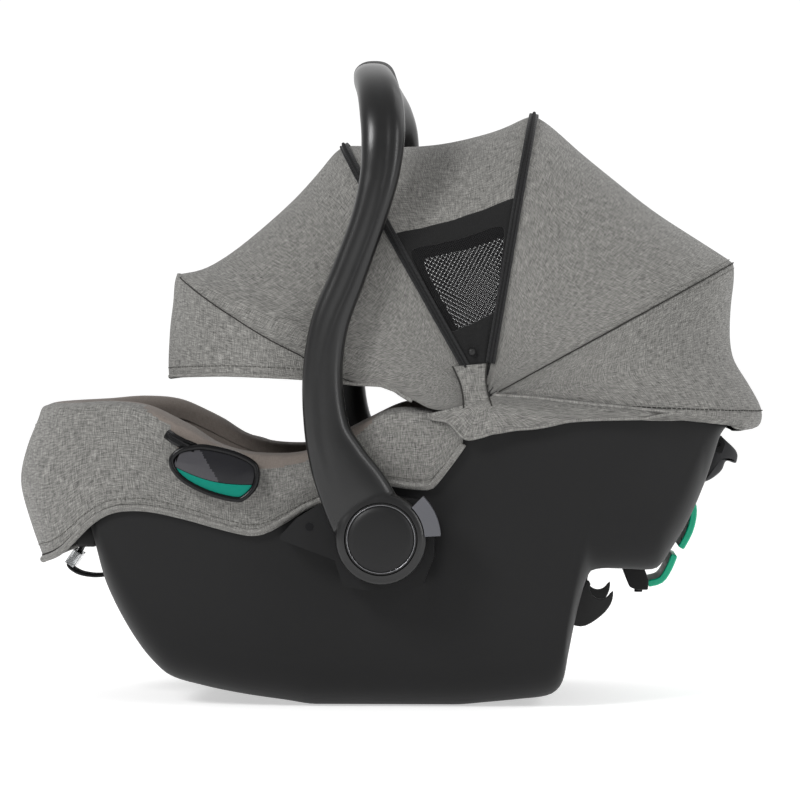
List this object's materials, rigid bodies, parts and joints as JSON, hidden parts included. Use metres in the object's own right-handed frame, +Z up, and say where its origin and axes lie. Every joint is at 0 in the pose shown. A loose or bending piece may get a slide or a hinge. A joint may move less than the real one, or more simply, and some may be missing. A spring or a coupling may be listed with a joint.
{
  "type": "infant car seat",
  "caption": "Infant car seat: reclined bucket shell with a swinging carry handle, folding canopy, harness, headrest and belt guides.",
  "frame": {"origin": "on the floor under the middle of the seat's box", "axes": "+X towards the head end, Y across the seat, +Z up"},
  "size_m": [0.656, 0.4352, 0.5584],
  "materials": {
    "shell_plastic": "matte",
    "handle_plastic": "satin",
    "grip_rubber": "matte",
    "black_plastic": "satin",
    "grey_plastic": "satin",
    "guide_gloss": "gloss",
    "lens_gloss": "gloss",
    "teal_plastic": "gloss",
    "green_plastic": "satin",
    "red_button": "satin",
    "clear_plastic": "gloss",
    "steel": "satin",
    "ring_metal": "polished",
    "cover_fabric": "matte",
    "canopy_fabric": "matte",
    "lining_fabric": "matte",
    "insert_fabric": "matte",
    "webbing": "matte",
    "eps_foam": "matte"
  },
  "bodies": {
    "seat_shell": {"outer_shell": "shell_plastic", "foam_liner": "eps_foam", "seat_lining": "lining_fabric", "seat_cover": "cover_fabric", "infant_insert": "insert_fabric", "crotch_strap": "webbing", "crotch_pad": "insert_fabric", "buckle_body": "black_plastic", "buckle_tongue_left": "steel", "buckle_tongue_right": "steel", "shoulder_strap_left": "webbing", "shoulder_strap_right": "webbing", "shoulder_pad_left": "insert_fabric", "shoulder_pad_right": "insert_fabric", "lap_strap_left": "webbing", "lap_strap_right": "webbing", "adjuster_housing": "black_plastic", "adjuster_strap": "webbing", "adjuster_clip": "clear_plastic", "harness_yoke": "steel", "belt_guide_left": "guide_gloss", "belt_guide_right": "guide_gloss", "guide_inlays": "teal_plastic", "guide_lenses": "lens_gloss", "rear_belt_guide": "green_plastic", "rear_bracket": "shell_plastic", "handle_mount_left": "shell_plastic", "handle_mount_right": "shell_plastic", "handle_pins": "steel", "lock_gears": "black_plastic", "canopy_mounts": "black_plastic", "canopy_pins": "steel", "canopy_skirt": "canopy_fabric", "lever_brackets": "shell_plastic", "latch_axle": "steel", "release_cable": "black_plastic", "shell_screws": "steel"},
    "handle": {"handle_arm_left": "handle_plastic", "handle_arm_right": "handle_plastic", "handle_grip": "grip_rubber", "hub_caps": "handle_plastic", "hub_rings": "ring_metal", "button_spring_left": "steel", "button_spring_right": "steel"},
    "lock_button_left": {"handle_button_left": "grey_plastic"},
    "lock_button_right": {"handle_button_right": "grey_plastic"},
    "canopy_rear": {"bow_rear": "black_plastic"},
    "canopy_upper_rear": {"bow_upper_rear": "black_plastic", "canopy_panel_rear": "canopy_fabric"},
    "canopy_upper_front": {"bow_upper_front": "black_plastic", "canopy_panel_top": "canopy_fabric"},
    "canopy_front": {"bow_front": "black_plastic", "canopy_panel_front": "canopy_fabric", "canopy_visor": "canopy_fabric"},
    "headrest": {"headrest_shell": "black_plastic", "headrest_pad": "insert_fabric"},
    "base_lever": {"release_lever": "grey_plastic"},
    "base_hooks": {"latch_hooks": "black_plastic"},
    "buckle_release": {"buckle_button": "red_button"},
    "adjuster_release": {"adjuster_button": "grey_plastic"}
  },
  "joints": [
    {"name": "handle_swing", "type": "hinge", "parent": "seat_shell", "child": "handle", "pos_m": [0, 0, 0.148], "axis": [0, 1, 0], "range_deg": [0, 110]},
    {"name": "handle_lock_left", "type": "slide", "parent": "handle", "child": "lock_button_left", "axis": [0, 1, 0], "range_m": [0, 0.004], "stiffness_N_per_m": 900, "springref_m": -0.002, "deforming": ["button_spring_left"]},
    {"name": "handle_lock_right", "type": "slide", "parent": "handle", "child": "lock_button_right", "axis": [0, -1, 0], "range_m": [0, 0.004], "stiffness_N_per_m": 900, "springref_m": -0.002, "deforming": ["button_spring_right"]},
    {"name": "canopy_fold", "type": "hinge", "parent": "seat_shell", "child": "canopy_rear", "pos_m": [0.0855, 0, 0.263], "axis": [0, 1, 0], "range_deg": [0, 20.5], "deforming": ["canopy_skirt"]},
    {"name": "fold_upper_rear", "type": "hinge", "parent": "canopy_rear", "child": "canopy_upper_rear", "pos_m": [0.0855, 0, 0.263], "axis": [0, 1, 0], "range_deg": [0, 44.6], "deforming": ["canopy_panel_rear"]},
    {"name": "fold_upper_front", "type": "hinge", "parent": "canopy_upper_rear", "child": "canopy_upper_front", "pos_m": [0.0855, 0, 0.263], "axis": [0, 1, 0], "range_deg": [0, 32.6], "deforming": ["canopy_panel_top"]},
    {"name": "fold_front", "type": "hinge", "parent": "canopy_upper_front", "child": "canopy_front", "pos_m": [0.0855, 0, 0.263], "axis": [0, 1, 0], "range_deg": [0, 32], "deforming": ["canopy_panel_front", "canopy_visor"]},
    {"name": "headrest_height", "type": "slide", "parent": "seat_shell", "child": "headrest", "axis": [0.8124, 0, 0.5831], "range_m": [0, 0.04]},
    {"name": "lever_pull", "type": "hinge", "parent": "seat_shell", "child": "base_lever", "pos_m": [0.287, 0, 0.222], "axis": [0, -1, 0], "range_deg": [0, 25], "stiffness_Nm_per_rad": 0.5, "springref_deg": -11.46},
    {"name": "hook_release", "type": "hinge", "parent": "seat_shell", "child": "base_hooks", "pos_m": [0.146, 0, 0.084], "axis": [0, 1, 0], "range_deg": [0, 30]},
    {"name": "buckle_press", "type": "slide", "parent": "seat_shell", "child": "buckle_release", "axis": [0.5736, 0, -0.8192], "range_m": [0, 0.003], "stiffness_N_per_m": 700, "springref_m": -0.002},
    {"name": "adjuster_press", "type": "slide", "parent": "seat_shell", "child": "adjuster_release", "axis": [-0.6504, 0, -0.7596], "range_m": [0, 0.003], "stiffness_N_per_m": 700, "springref_m": -0.002}
  ],
  "couplings": [
    {"joint": "fold_upper_rear", "follows": "canopy_fold", "ratio": 2.1707},
    {"joint": "fold_upper_front", "follows": "canopy_fold", "ratio": 1.5854},
    {"joint": "fold_front", "follows": "canopy_fold", "ratio": 1.5561},
    {"joint": "hook_release", "follows": "lever_pull", "ratio": 1.2}
  ]
}
